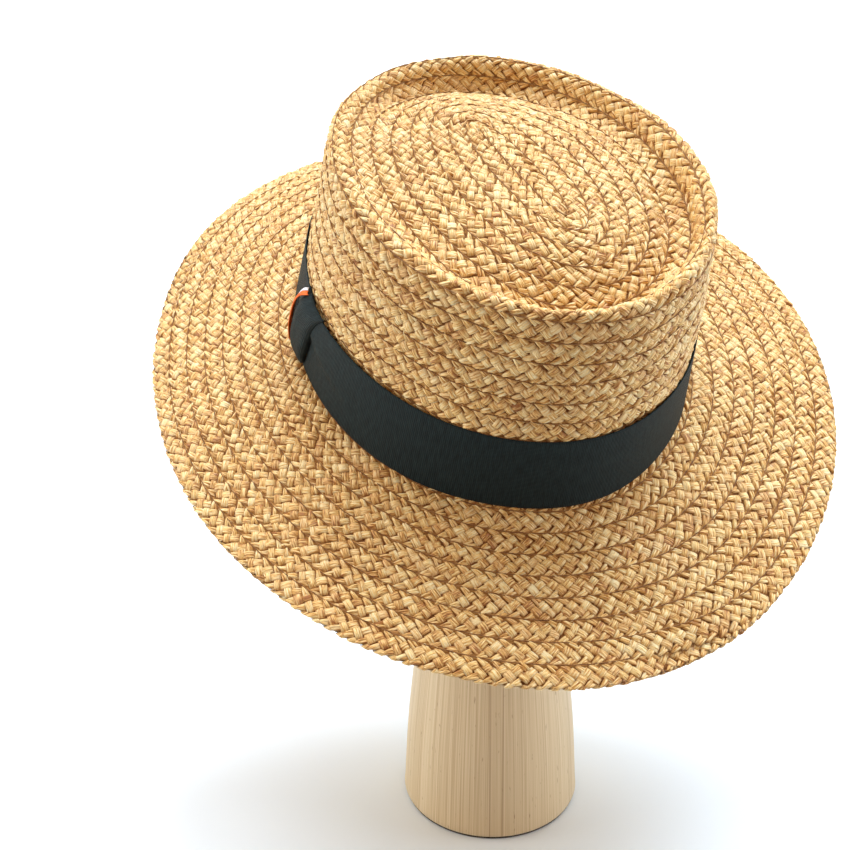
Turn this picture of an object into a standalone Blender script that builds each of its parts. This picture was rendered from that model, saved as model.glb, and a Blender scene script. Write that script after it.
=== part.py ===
"""A wide-brimmed plaited straw hat on a turned wooden stand.

The stand is turned about the world's Z axis and stands on Z = 0. The hat is modelled in its own
frame: Z up the crown, X along the oval's long axis, Z = 0 where crown and brim meet. An empty
then seats it on the stand's domed top, leaning and turned as it is worn on the stand.
"""
import math

import bmesh
import bpy
from mathutils import Matrix, Vector

# Clearances and walls, in metres
SEAT_GAP = 0.0003
STRAW_WALL = 0.002
RIBBON_WALL = 0.001

# Crown: half of the oval's short axis outside, and how much longer the other half axis is
HEAD_HALF_WIDTH = 0.0845
TIP_HALF_WIDTH = 0.0712
OVAL_STRETCH = 0.0172
CORE_STRETCH = 0.0295
CROWN_HEIGHT = 0.0925
TIP_HEIGHT = 0.0920
GROOVE_DEPTH = 0.0120
CROWN_SHIFT = 0.0072
CROWN_SHIFT_TURN = 252.3
SADDLE_LIFT = 0.0016
SADDLE_TURN = 67.0
FOOT_SHIFT = 0.0034

# Brim, measured along the straw from the crown to the edge
BRIM_WIDTH = 0.0712

# Ribbon and its keeper
BAND_HEIGHT = 0.0350
PLEAT_RISE = 0.0016
KEEPER_TURN = 75.2
KEEPER_LEAN = 6.5
KEEPER_WIDTH = 0.0155
KEEPER_OVERHANG = 0.0012
KEEPER_RISE = 0.0038
ORANGE_TRIM_WIDTH = 0.0021
WHITE_TRIM_WIDTH = 0.0013
TRIM_RISE = 0.0008

# Stand, turned, on a thin felt pad
STAND_HEIGHT = 0.3103
STAND_FOOT_RADIUS = 0.0427
STAND_NECK_RADIUS = 0.0300
STAND_NECK_START = 0.1400
PAD_THICKNESS = 0.0010
PAD_INSET = 0.0010

# How the hat sits on the stand, in degrees
HAT_LEAN = 25.87
HAT_LEAN_TOWARDS = -84.79
HAT_TURN = 120.41

SEGMENTS = 56
SLOPE_STEPS = 8
BAND_STEPS = 4
KEEPER_STEPS = 8
DOME_STEPS = 8

# Places of the lines of points across a keeper strip, as shares of its width
ACROSS_SHARES = (-0.5, -0.3, 0.0, 0.3, 0.5)

# Shares of CROWN_HEIGHT up the crown's side
SIDE_SHARES = (0.0, 0.2, 0.4, 0.6, 0.8, 0.93, 0.975)

# Inwards over the top of the crown: width as a share of TIP_HALF_WIDTH, depth as a share of
# the groove, and how far the height has gone over from CROWN_HEIGHT to TIP_HEIGHT
TIP_SECTIONS = (
    # width, groove, dome
    (0.965, 0.00, 0.0),
    (0.925, 0.06, 0.0),
    (0.885, 0.40, 0.0),
    (0.845, 0.80, 0.0),
    (0.790, 1.00, 0.0),
    (0.700, 0.88, 0.1),
    (0.570, 0.57, 0.4),
    (0.420, 0.28, 0.7),
    (0.260, 0.09, 0.9),
    (0.110, 0.01, 1.0),
)

# Round the oval: brim width as a share of BRIM_WIDTH, the brim's slope in degrees at the crown
# and at the edge, the groove's depth as a share of GROOVE_DEPTH, and how far the crown's foot
# stands out and rises from a plain oval, as shares of FOOT_SHIFT
TURN_SECTIONS = (
    # turn, width, root slope, edge slope, groove, foot out, foot rise
    (0.0, 1.015, 11.0, 13.0, 0.80, 0.20, 0.50),
    (30.0, 0.992, 9.0, 19.0, 0.45, -0.10, 0.65),
    (60.0, 0.968, 12.0, 28.0, 0.25, -1.00, 0.40),
    (90.0, 0.961, 13.0, 25.0, 0.35, -0.45, 0.00),
    (120.0, 0.977, 13.0, 13.0, 0.70, -0.25, 0.05),
    (150.0, 1.003, 18.0, 12.0, 1.00, -0.60, -0.05),
    (180.0, 1.019, 26.0, 19.0, 1.10, -0.80, -0.35),
    (210.0, 1.018, 25.0, 19.0, 1.05, -0.95, -0.10),
    (240.0, 1.008, 14.0, 12.0, 0.90, -0.55, 0.00),
    (270.0, 1.004, 9.0, 11.0, 0.75, -0.15, 0.10),
    (300.0, 1.012, 14.0, 15.0, 0.80, 0.10, 0.20),
    (330.0, 1.020, 15.0, 16.0, 0.90, 0.25, 0.35),
)

# The stand's side between foot and neck: height and radius as shares of the way to the neck
STAND_SIDE = (
    # height, narrowing
    (0.00, 0.00),
    (0.28, 0.18),
    (0.50, 0.44),
    (0.71, 0.69),
    (0.86, 0.90),
    (1.00, 1.00),
)


def smooth_between(before, start, end, after, share):
    """Catmull-Rom value between start and end."""
    bend = 2.0 * before - 5.0 * start + 4.0 * end - after
    twist = 3.0 * (start - end) + after - before
    return start + 0.5 * share * (end - before + share * (bend + share * twist))


def around(column, turn):
    """A column of TURN_SECTIONS at any turn, in degrees, as a smooth closed curve."""
    count = len(TURN_SECTIONS)
    place = (turn % 360.0) / 360.0 * count
    first = int(place)
    values = [TURN_SECTIONS[(first + step) % count][column] for step in (-1, 0, 1, 2)]
    return smooth_between(*values, place - first)


def oval_point(half_width, stretch, turn):
    """Point at an angle on an oval whose long axis is X."""
    angle = math.radians(turn)
    return Vector(((half_width + stretch) * math.cos(angle), half_width * math.sin(angle), 0.0))


def saddle(turn):
    """The head opening isn't flat: it rises at two sides and falls at the other two."""
    return SADDLE_LIFT * math.cos(2.0 * math.radians(turn - SADDLE_TURN))


def crown_shift(share):
    """The crown leans a little: how far its section has moved, by its share of the height."""
    angle = math.radians(CROWN_SHIFT_TURN)
    return Vector((math.cos(angle), math.sin(angle), 0.0)) * CROWN_SHIFT * share


def foot_shift(turn, share):
    """How far the foot's departure from a plain oval moves a point out and up."""
    return FOOT_SHIFT * share * around(5, turn), FOOT_SHIFT * share * around(6, turn)


def crown_side(height, turn, out=0.0):
    """Point on the crown's side at a height, moved outwards by out."""
    share = height / CROWN_HEIGHT
    foot_out, foot_rise = foot_shift(turn, 1.0 - share)
    half_width = HEAD_HALF_WIDTH + (TIP_HALF_WIDTH - HEAD_HALF_WIDTH) * share
    point = oval_point(half_width + foot_out + out, OVAL_STRETCH, turn)
    point.z = height + saddle(turn) + foot_rise
    return point + crown_shift(share)


def crown_top(width, groove, dome, turn):
    """Point on the crown's top, from one row of TIP_SECTIONS."""
    stretch = CORE_STRETCH + (OVAL_STRETCH - CORE_STRETCH) * width
    point = oval_point(width * TIP_HALF_WIDTH, stretch, turn)
    height = CROWN_HEIGHT + (TIP_HEIGHT - CROWN_HEIGHT) * dome
    height -= groove * GROOVE_DEPTH * around(4, turn)
    height += saddle(turn) * (1.0 - dome)
    return point + crown_shift(1.0) + Vector((0.0, 0.0, height))


def brim_point(reach, turn):
    """Point on the brim's upper face; reach runs from 0 at the crown to 1 at the edge."""
    width = BRIM_WIDTH * around(1, turn)
    root, edge = math.radians(around(2, turn)), math.radians(around(3, turn))
    step = width * reach / SLOPE_STEPS
    out = drop = 0.0
    for number in range(SLOPE_STEPS):
        slope = root + (edge - root) * reach * (number + 0.5) / SLOPE_STEPS
        out += step * math.cos(slope)
        drop += step * math.sin(slope)
    foot_out, foot_rise = foot_shift(turn, 1.0 - reach)
    point = oval_point(HEAD_HALF_WIDTH + foot_out + out, OVAL_STRETCH, turn)
    point.z = saddle(turn) + foot_rise - drop
    return point


def colour(name, red_green_blue, roughness, metallic=0.0):
    """A Principled material with one colour."""
    material = bpy.data.materials.new(name)
    material.use_nodes = True
    shader = material.node_tree.nodes["Principled BSDF"]
    shader.inputs["Base Color"].default_value = (*red_green_blue, 1.0)
    shader.inputs["Roughness"].default_value = roughness
    shader.inputs["Metallic"].default_value = metallic
    material.diffuse_color = (*red_green_blue, 1.0)
    return material


def add_object(name, mesh, material, group, parent=None):
    """Put a mesh in the collection with its material."""
    mesh.materials.append(material)
    item = bpy.data.objects.new(name, mesh)
    group.objects.link(item)
    item.parent = parent
    return item


def loft(name, rings, closed=True, filled=False):
    """An open surface through rings of points, each ring with as many points as the others."""
    shape = bmesh.new()
    loops = [[shape.verts.new(point) for point in ring] for ring in rings]
    count = len(loops[0])
    for lower, upper in zip(loops, loops[1:]):
        for index in range(count if closed else count - 1):
            following = (index + 1) % count
            shape.faces.new((lower[index], lower[following], upper[following], upper[index]))
    if filled:
        shape.faces.new(loops[-1])
    mesh = bpy.data.meshes.new(name)
    shape.to_mesh(mesh)
    shape.free()
    mesh.shade_smooth()
    return mesh


def thicken(item, wall):
    """Give an open surface its wall, on the side away from its faces."""
    solid = item.modifiers.new("Wall", "SOLIDIFY")
    solid.thickness = wall
    solid.offset = -1.0
    solid.use_even_offset = True


def turns():
    """The turns of the points round a whole ring."""
    return [360.0 * index / SEGMENTS for index in range(SEGMENTS)]


def build_crown(material, group, seat):
    """Side, rim, groove and domed tip, open below where the head goes in."""
    taper = (HEAD_HALF_WIDTH - TIP_HALF_WIDTH) / CROWN_HEIGHT
    lift = SEAT_GAP + STRAW_WALL * taper
    heights = [max(CROWN_HEIGHT * share, lift) for share in SIDE_SHARES]
    rings = [[crown_side(height, turn) for turn in turns()] for height in heights]
    rings += [[crown_top(*section, turn) for turn in turns()] for section in TIP_SECTIONS]
    item = add_object("crown", loft("crown", rings, filled=True), material, group, seat)
    thicken(item, STRAW_WALL)


def build_brim(material, group, seat):
    """The brim, whose inner edge lies under the crown's wall."""
    inner = []
    for turn in turns():
        foot_out, foot_rise = foot_shift(turn, 1.0)
        point = oval_point(HEAD_HALF_WIDTH + foot_out - STRAW_WALL, OVAL_STRETCH, turn)
        point.z = saddle(turn) + foot_rise
        inner.append(point)
    reaches = [number / SLOPE_STEPS for number in range(SLOPE_STEPS + 1)]
    rings = [[brim_point(reach, turn) for turn in turns()] for reach in reversed(reaches)]
    item = add_object("brim", loft("brim", rings + [inner]), material, group, seat)
    thicken(item, STRAW_WALL)


def pleat(height, turn):
    """The ribbon's rise where it comes out of the keeper on its near side."""
    half_width = math.degrees(KEEPER_WIDTH / 2.0 / (HEAD_HALF_WIDTH + OVAL_STRETCH / 2.0))
    past = (turn - KEEPER_TURN - half_width) / (2.0 * half_width)
    if past < -1.0 or past > 1.5:
        return 0.0
    along = math.cos(math.pi * past / 3.0) ** 2
    return PLEAT_RISE * along * math.sin(math.pi * height / BAND_HEIGHT) ** 2


def build_band(material, group, seat):
    """The ribbon round the foot of the crown."""
    low = SEAT_GAP + RIBBON_WALL
    heights = [low + (BAND_HEIGHT - low) * step / BAND_STEPS for step in range(BAND_STEPS + 1)]
    reach = SEAT_GAP + RIBBON_WALL
    rings = [[crown_side(height, turn, reach + pleat(height, turn)) for turn in turns()]
             for height in heights]
    item = add_object("hatband", loft("hatband", rings), material, group, seat)
    thicken(item, RIBBON_WALL)


def keeper_strip(name, offset, width, rise, material, group, seat):
    """An upright strip over the ribbon; offset is its middle's distance from the keeper's."""
    radius = HEAD_HALF_WIDTH + OVAL_STRETCH / 2.0
    band_face = SEAT_GAP + RIBBON_WALL
    low = SEAT_GAP + RIBBON_WALL - KEEPER_OVERHANG
    high = BAND_HEIGHT + KEEPER_OVERHANG
    columns = []
    for across in ACROSS_SHARES:
        column = []
        for step in range(KEEPER_STEPS + 1):
            share = step / KEEPER_STEPS
            height = low + (high - low) * share
            lean = KEEPER_LEAN * (share - 0.5)
            turn = KEEPER_TURN + lean + math.degrees((offset + across * width) / radius)
            clear = band_face + SEAT_GAP + RIBBON_WALL + PLEAT_RISE * math.sin(math.pi * share)
            bulge = rise * (1.0 - 4.0 * across * across) * math.sin(math.pi * share)
            column.append(crown_side(height, turn, clear + bulge))
        columns.append(column)
    item = add_object(name, loft(name, columns[::-1], closed=False), material, group, seat)
    thicken(item, RIBBON_WALL)


def build_stand(wood, felt, group):
    """A turned post that narrows to a neck under a domed top, on a felt pad."""
    foot = PAD_THICKNESS + SEAT_GAP
    dome = STAND_HEIGHT - STAND_NECK_RADIUS
    points = [(0.0, STAND_HEIGHT)]
    for step in range(1, DOME_STEPS + 1):
        angle = math.pi / 2.0 * (1.0 - step / DOME_STEPS)
        points.append((STAND_NECK_RADIUS * math.cos(angle), dome + STAND_NECK_RADIUS * math.sin(angle)))
    for height, narrowing in reversed(STAND_SIDE):
        radius = STAND_FOOT_RADIUS + (STAND_NECK_RADIUS - STAND_FOOT_RADIUS) * narrowing
        points.append((radius, foot + (STAND_NECK_START - foot) * height))
    points.append((0.0, foot))
    turn_profile("stand", points, wood, group)
    pad = STAND_FOOT_RADIUS - PAD_INSET
    turn_profile("stand_pad", [(0.0, PAD_THICKNESS), (pad, PAD_THICKNESS), (pad, 0.0), (0.0, 0.0)],
                 felt, group)


def turn_profile(name, points, material, group):
    """A solid turned about Z from a profile that runs down its outer side."""
    shape = bmesh.new()
    verts = [shape.verts.new((radius, 0.0, height)) for radius, height in points]
    for upper, lower in zip(verts, verts[1:]):
        shape.edges.new((upper, lower))
    mesh = bpy.data.meshes.new(name)
    shape.to_mesh(mesh)
    shape.free()
    item = add_object(name, mesh, material, group)
    screw = item.modifiers.new("Turn", "SCREW")
    screw.steps = SEGMENTS
    screw.render_steps = SEGMENTS
    screw.use_merge_vertices = True
    screw.merge_threshold = 0.00005


def seat_matrix():
    """The hat's place: its tip's lining rests on the stand's dome, tilted about its centre."""
    dome_centre = Vector((0.0, 0.0, STAND_HEIGHT - STAND_NECK_RADIUS))
    lean_axis = Vector((-math.sin(math.radians(HAT_LEAN_TOWARDS)),
                        math.cos(math.radians(HAT_LEAN_TOWARDS)), 0.0))
    lean = Matrix.Rotation(math.radians(HAT_LEAN), 4, lean_axis)
    turn = Matrix.Rotation(math.radians(HAT_TURN), 4, "Z")
    inside = TIP_HEIGHT - STRAW_WALL - SEAT_GAP - STAND_NECK_RADIUS
    return Matrix.Translation(dome_centre) @ lean @ turn @ Matrix.Translation((0.0, 0.0, -inside))


def main():
    """Build everything into one collection."""
    for item in list(bpy.data.objects):
        bpy.data.objects.remove(item, do_unlink=True)
    group = bpy.data.collections.new("straw_hat_on_stand")
    bpy.context.scene.collection.children.link(group)

    straw = colour("straw", (0.76, 0.55, 0.28), 0.75)
    ribbon = colour("ribbon", (0.012, 0.032, 0.029), 0.7)
    white = colour("white_ribbon", (0.85, 0.85, 0.87), 0.7)
    orange = colour("orange_ribbon", (0.86, 0.18, 0.04), 0.7)
    wood = colour("pale_wood", (0.68, 0.54, 0.36), 0.55)
    felt = colour("felt", (0.05, 0.05, 0.05), 0.95)

    seat = bpy.data.objects.new("hat_seat", None)
    seat.matrix_world = seat_matrix()
    group.objects.link(seat)

    build_stand(wood, felt, group)
    build_crown(straw, group, seat)
    build_brim(straw, group, seat)
    build_band(ribbon, group, seat)
    keeper_strip("band_keeper", 0.0, KEEPER_WIDTH, KEEPER_RISE, ribbon, group, seat)
    beside = KEEPER_WIDTH / 2.0 + SEAT_GAP
    keeper_strip("trim_orange", -beside - ORANGE_TRIM_WIDTH / 2.0, ORANGE_TRIM_WIDTH, TRIM_RISE,
                 orange, group, seat)
    beside += ORANGE_TRIM_WIDTH + SEAT_GAP
    keeper_strip("trim_white", -beside - WHITE_TRIM_WIDTH / 2.0, WHITE_TRIM_WIDTH, TRIM_RISE,
                 white, group, seat)


main()
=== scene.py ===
# %% [markdown]
# # A plaited straw hat on a wooden stand
#
# The real hat is one long plait of raffia, sewn into a spiral from the middle of the tip, down
# the crown and out to the edge of the brim. The whole lesson follows that idea: first a map
# that turns "row of the spiral" and "turn round the hat" into a place on the hat, and then a
# small piece of straw that is repeated thousands of times along the plait on that map. The
# ribbon, its keeper, the stand and the studio come after it.

# %% Load the frame
import math

import bmesh
import bpy
import numpy as np
from mathutils import Matrix, Vector


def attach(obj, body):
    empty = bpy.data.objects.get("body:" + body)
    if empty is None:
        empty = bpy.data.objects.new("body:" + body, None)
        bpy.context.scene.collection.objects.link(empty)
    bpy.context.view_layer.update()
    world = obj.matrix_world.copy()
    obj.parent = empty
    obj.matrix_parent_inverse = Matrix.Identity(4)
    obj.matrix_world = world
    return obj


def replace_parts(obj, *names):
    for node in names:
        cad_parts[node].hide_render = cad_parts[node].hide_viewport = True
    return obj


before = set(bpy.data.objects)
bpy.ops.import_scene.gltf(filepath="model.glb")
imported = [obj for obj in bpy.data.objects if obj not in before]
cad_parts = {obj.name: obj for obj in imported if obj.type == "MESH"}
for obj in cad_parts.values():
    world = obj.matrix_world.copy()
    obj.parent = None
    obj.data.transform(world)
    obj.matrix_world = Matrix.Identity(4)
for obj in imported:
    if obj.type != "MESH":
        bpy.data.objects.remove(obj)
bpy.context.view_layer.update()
print("nodes:", ", ".join(sorted(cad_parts)))

# %% [markdown]
# ## The camera
#
# The photograph looks down on the hat from the front. The place and the lens were fitted
# once to the stand's sides, the rim, the ribbon and the brim, so they are plain values here.

# %% Camera
CAMERA_PLACE = Vector((-0.03009, -0.49814, 0.40104))
CAMERA_RIGHT = Vector((0.99991906, -0.00486972, -0.01175386))
CAMERA_UP = Vector((0.01272271, 0.38272700, 0.92377388))
LENS = 51.53

camera_data = bpy.data.cameras.new("camera")
camera_data.sensor_width = 36.0
camera_data.lens = LENS
camera_data.clip_start = 0.01
camera = bpy.data.objects.new("camera", camera_data)
back = CAMERA_RIGHT.cross(CAMERA_UP)
camera.matrix_world = Matrix((
    (CAMERA_RIGHT.x, CAMERA_UP.x, back.x, CAMERA_PLACE.x),
    (CAMERA_RIGHT.y, CAMERA_UP.y, back.y, CAMERA_PLACE.y),
    (CAMERA_RIGHT.z, CAMERA_UP.z, back.z, CAMERA_PLACE.z),
    (0.0, 0.0, 0.0, 1.0)))
bpy.context.collection.objects.link(camera)
bpy.context.scene.camera = camera

# %% [markdown]
# ## The hat's own sizes
#
# These are the sizes that the solids were built from, in metres and degrees. The straw here
# follows the same oval, groove, domed tip and dipping brim, only with smooth curves where
# the solids have flat faces. In the tables each line is one section, and its columns are
# shares of the named sizes, or angles.

# %% Sizes of the hat
STRAW_WALL, SEAT_GAP, RIBBON_WALL = 0.002, 0.0003, 0.001
HEAD_HALF_WIDTH, TIP_HALF_WIDTH = 0.0845, 0.0712
OVAL_STRETCH, CORE_STRETCH = 0.0172, 0.0295
CROWN_HEIGHT, TIP_HEIGHT, GROOVE_DEPTH = 0.0925, 0.0920, 0.0120
CROWN_SHIFT, CROWN_SHIFT_TURN = 0.0072, 252.3
SADDLE_LIFT, SADDLE_TURN, FOOT_SHIFT = 0.0016, 67.0, 0.0034
BRIM_WIDTH, SLOPE_STEPS = 0.0712, 8
BAND_HEIGHT, PLEAT_RISE = 0.0350, 0.0016
KEEPER_TURN = 75.2
STAND_HEIGHT, STAND_FOOT_RADIUS, STAND_NECK_RADIUS = 0.3103, 0.0427, 0.0300
STAND_NECK_START, PAD_THICKNESS, PAD_INSET = 0.1400, 0.0010, 0.0010
HAT_LEAN, HAT_LEAN_TOWARDS, HAT_TURN = 25.87, -84.79, 120.41

SIDE_SHARES = (0.975, 0.93, 0.8, 0.6, 0.4, 0.2, 0.04, 0.0)
TIP_SECTIONS = (
    # width, groove, dome
    (0.000, 0.00, 1.0),
    (0.110, 0.01, 1.0),
    (0.260, 0.09, 0.9),
    (0.420, 0.28, 0.7),
    (0.570, 0.57, 0.4),
    (0.700, 0.88, 0.1),
    (0.790, 1.00, 0.0),
    (0.845, 0.80, 0.0),
    (0.885, 0.40, 0.0),
    (0.925, 0.06, 0.0),
    (0.965, 0.00, 0.0),
)
TURN_SECTIONS = (
    # turn, width, root slope, edge slope, groove, foot out, foot rise
    (0.0, 1.015, 11.0, 13.0, 0.80, 0.20, 0.50),
    (30.0, 0.992, 9.0, 19.0, 0.45, -0.10, 0.65),
    (60.0, 0.968, 12.0, 28.0, 0.25, -1.00, 0.40),
    (90.0, 0.961, 13.0, 25.0, 0.35, -0.45, 0.00),
    (120.0, 0.977, 13.0, 13.0, 0.70, -0.25, 0.05),
    (150.0, 1.003, 18.0, 12.0, 1.00, -0.60, -0.05),
    (180.0, 1.019, 26.0, 19.0, 1.10, -0.80, -0.35),
    (210.0, 1.018, 25.0, 19.0, 1.05, -0.95, -0.10),
    (240.0, 1.008, 14.0, 12.0, 0.90, -0.55, 0.00),
    (270.0, 1.004, 9.0, 11.0, 0.75, -0.15, 0.10),
    (300.0, 1.012, 14.0, 15.0, 0.80, 0.10, 0.20),
    (330.0, 1.020, 15.0, 16.0, 0.90, 0.25, 0.35),
)
BRIM_REACHES = (0.04,) + tuple(step / SLOPE_STEPS for step in range(1, SLOPE_STEPS + 1))


# %% [markdown]
# ## One smooth surface through those sizes
#
# Every function takes whole arrays of turns, so numpy works out a ring at a time. The points
# are still in the hat's own frame: X along the oval, Z up the crown.

# %% Points on the hat
def around(column, turn):
    """A column of TURN_SECTIONS at any turn, as a smooth closed curve."""
    values = np.array([section[column] for section in TURN_SECTIONS])
    place = (turn % 360.0) / 360.0 * len(values)
    first = np.floor(place).astype(int)
    share = place - first
    before, start, end, after = (values[(first + step) % len(values)] for step in (-1, 0, 1, 2))
    bend = 2.0 * before - 5.0 * start + 4.0 * end - after
    twist = 3.0 * (start - end) + after - before
    return start + 0.5 * share * (end - before + share * (bend + share * twist))


def saddle(turn):
    """The head opening rises at two sides and falls at the other two."""
    return SADDLE_LIFT * np.cos(2.0 * np.radians(turn - SADDLE_TURN))


def oval(half_width, stretch, turn, height):
    """Points on an oval at a height."""
    angle = np.radians(turn)
    across, along = half_width * np.sin(angle), (half_width + stretch) * np.cos(angle)
    return np.stack([along, across, height + 0.0 * angle], axis=-1)


def crown_shift(share):
    """The crown leans a little: how far a section has moved, by its share of the height."""
    angle = math.radians(CROWN_SHIFT_TURN)
    return np.array((math.cos(angle), math.sin(angle), 0.0)) * CROWN_SHIFT * share


def crown_side(height, turn, out=0.0):
    """Points on the crown's side at a height, moved outwards by out."""
    share = np.asarray(height) / CROWN_HEIGHT
    left = (1.0 - share) * FOOT_SHIFT
    half_width = HEAD_HALF_WIDTH + (TIP_HALF_WIDTH - HEAD_HALF_WIDTH) * share + out
    half_width = half_width + left * around(5, turn)
    level = height + saddle(turn) + left * around(6, turn)
    return oval(half_width, OVAL_STRETCH, turn, level) + crown_shift(1.0) * share[..., None]


def crown_top(width, groove, dome, turn):
    """Points on the crown's top, from one row of TIP_SECTIONS."""
    stretch = CORE_STRETCH + (OVAL_STRETCH - CORE_STRETCH) * width
    height = CROWN_HEIGHT + (TIP_HEIGHT - CROWN_HEIGHT) * dome
    height = height - groove * GROOVE_DEPTH * around(4, turn) + saddle(turn) * (1.0 - dome)
    return oval(width * TIP_HALF_WIDTH, stretch, turn, height) + crown_shift(1.0)


def brim_point(reach, turn):
    """Points on the brim's upper face, from 0 at the crown to 1 at the edge."""
    width = BRIM_WIDTH * around(1, turn)
    root, edge = np.radians(around(2, turn)), np.radians(around(3, turn))
    shares = (np.arange(SLOPE_STEPS) + 0.5) / SLOPE_STEPS
    slopes = root + (edge - root) * reach * shares[:, None]
    out = (width * reach / SLOPE_STEPS * np.cos(slopes)).sum(axis=0)
    drop = (width * reach / SLOPE_STEPS * np.sin(slopes)).sum(axis=0)
    left = (1.0 - reach) * FOOT_SHIFT
    half_width = HEAD_HALF_WIDTH + out + left * around(5, turn)
    return oval(half_width, OVAL_STRETCH, turn, saddle(turn) - drop + left * around(6, turn))


def seat_matrix():
    """The hat's place on the stand: leaning over the dome that carries its tip."""
    dome_centre = Vector((0.0, 0.0, STAND_HEIGHT - STAND_NECK_RADIUS))
    towards = math.radians(HAT_LEAN_TOWARDS)
    lean_axis = Vector((-math.sin(towards), math.cos(towards), 0.0))
    lean = Matrix.Rotation(math.radians(HAT_LEAN), 4, lean_axis)
    turn = Matrix.Rotation(math.radians(HAT_TURN), 4, "Z")
    inside = TIP_HEIGHT - STRAW_WALL - SEAT_GAP - STAND_NECK_RADIUS
    return Matrix.Translation(dome_centre) @ lean @ turn @ Matrix.Translation((0.0, 0.0, -inside))


SEAT = np.array(seat_matrix())


def seated(points):
    """Points of the hat's own frame, where the hat sits on its stand."""
    return points @ SEAT[:3, :3].T + SEAT[:3, 3]


# %% [markdown]
# ## The map of the spiral
#
# Row 0 is the middle of the tip, TIP_ROWS is the crest round the crown, then come the rows
# of the side, and the last ones are the brim's. Each turn of the spiral moves the plait out
# by one row. At the end of the plait the last row tucks in beneath the one before it, so the
# edge steps back by a whole row over LAST_TAPER degrees.
#
# The map is a table of places and normals, one line for each half degree and one column for
# each twentieth of a row. Past the brim's edge it rolls round to the underside, so a strand
# that crosses the edge folds round it as the real one does.

# %% Rows of the spiral
TIP_ROWS, SIDE_ROWS = 8.0, 10.2
FOOT_ROW = TIP_ROWS + SIDE_ROWS
END_TURN, LAST_TAPER = 200.0, 38.0
END_ROW = 25.0 + END_TURN / 360.0
EDGE_ROLL = 0.0009
TURN_STEP, ROW_STEP = 0.5, 0.05
LAST_ROW, ROWS_PAST_EDGE = 28.0, 3.0


def smoothstep(value):
    """0 to 1 with a soft start and stop."""
    value = np.clip(value, 0.0, 1.0)
    return value * value * (3.0 - 2.0 * value)


def tuck(turns_left):
    """How far the plait's end has slid beneath the row before it, from degrees to its end."""
    return smoothstep(1.0 - turns_left / LAST_TAPER)


def edge_row(turn):
    """The row at the brim's edge."""
    past = (turn - END_TURN) % 360.0
    return END_ROW + past / 360.0 - tuck(360.0 - past)


def eased(share, start, out, end, back_in):
    """From start to end, leaving along out and arriving along back_in."""
    return ((1.0 + 2.0 * share) * (1.0 - share) ** 2 * start + share * (1.0 - share) ** 2 * out
            + share ** 2 * (3.0 - 2.0 * share) * end + share ** 2 * (share - 1.0) * back_in)


def one_long(vectors):
    """The same directions, each one unit long."""
    return vectors / np.maximum(np.linalg.norm(vectors, axis=-1), 1e-12)[..., None]


def through(points, steps):
    """A smooth curve through each line of points, with steps pieces between two points."""
    gaps = np.linalg.norm(np.diff(points, axis=1), axis=2).mean(axis=0)
    slopes = np.diff(points, axis=1) / gaps[None, :, None]
    inner = (slopes[:, :-1] * gaps[1:, None] + slopes[:, 1:] * gaps[:-1, None])
    inner /= (gaps[1:] + gaps[:-1])[None, :, None]
    tangents = np.concatenate([slopes[:, :1], inner, slopes[:, -1:]], axis=1)
    share = (np.arange(steps) / steps)[None, None, :, None]
    start, end = points[:, :-1, None], points[:, 1:, None]
    out = tangents[:, :-1, None] * gaps[None, :, None, None]
    back_in = tangents[:, 1:, None] * gaps[None, :, None, None]
    curve = eased(share, start, out, end, back_in).reshape(len(points), -1, 3)
    return np.concatenate([curve, points[:, -1:]], axis=1)


# %% Table of the map
PIECES_BETWEEN = 12
ROLL_ANGLES = np.radians(np.arange(15.0, 181.0, 15.0))
turns = np.arange(0.0, 360.0, TURN_STEP)
control = [crown_top(*section, turns) for section in TIP_SECTIONS]
control += [crown_side(np.full_like(turns, CROWN_HEIGHT * share), turns) for share in SIDE_SHARES]
control += [brim_point(reach, turns) for reach in BRIM_REACHES]
lines = through(np.stack(control, axis=1), PIECES_BETWEEN)

tangent = one_long(lines[:, -1] - lines[:, -2])
round_edge = np.roll(lines[:, -1], -1, axis=0) - np.roll(lines[:, -1], 1, axis=0)
face_out = one_long(np.cross(tangent, round_edge))
centre = lines[:, -1] - face_out * EDGE_ROLL
rolled = [centre + EDGE_ROLL * (face_out * math.cos(angle) + tangent * math.sin(angle))
          for angle in ROLL_ANGLES]
rolled += [rolled[-1] - tangent * inwards for inwards in (0.004, 0.012)]
lines = np.concatenate([lines, np.stack(rolled, axis=1)], axis=1)

row_places = np.arange(0.0, LAST_ROW, ROW_STEP)
crest_index = (len(TIP_SECTIONS) - 1) * PIECES_BETWEEN
foot_index = crest_index + len(SIDE_SHARES) * PIECES_BETWEEN
edge_index = (len(control) - 1) * PIECES_BETWEEN
places = np.zeros((len(turns), len(row_places), 3))
for index, turn in enumerate(turns):
    length = np.concatenate([[0.0], np.cumsum(np.linalg.norm(np.diff(lines[index], axis=0), axis=1))])
    edge = edge_row(turn)
    row_size = (length[edge_index] - length[foot_index]) / (edge - FOOT_ROW)
    known_rows = (0.0, TIP_ROWS, FOOT_ROW, edge, edge + ROWS_PAST_EDGE)
    known = (0.0, length[crest_index], length[foot_index], length[edge_index],
             length[edge_index] + ROWS_PAST_EDGE * row_size)
    along = np.interp(row_places, known_rows, known)
    for axis in range(3):
        places[index, :, axis] = np.interp(along, length, lines[index, :, axis])

outwards = np.gradient(places, axis=1)
onwards = np.roll(places, -1, axis=0) - np.roll(places, 1, axis=0)
flat_middle = smoothstep(1.0 - row_places / 0.8)[None, :, None]
normals = one_long(np.cross(outwards, onwards)) * (1.0 - flat_middle)
normals = one_long(normals + np.array((0.0, 0.0, 1.0)) * flat_middle)
print(f"map of the hat: {places.shape[0]} turns, {places.shape[1]} places across the rows")

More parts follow.
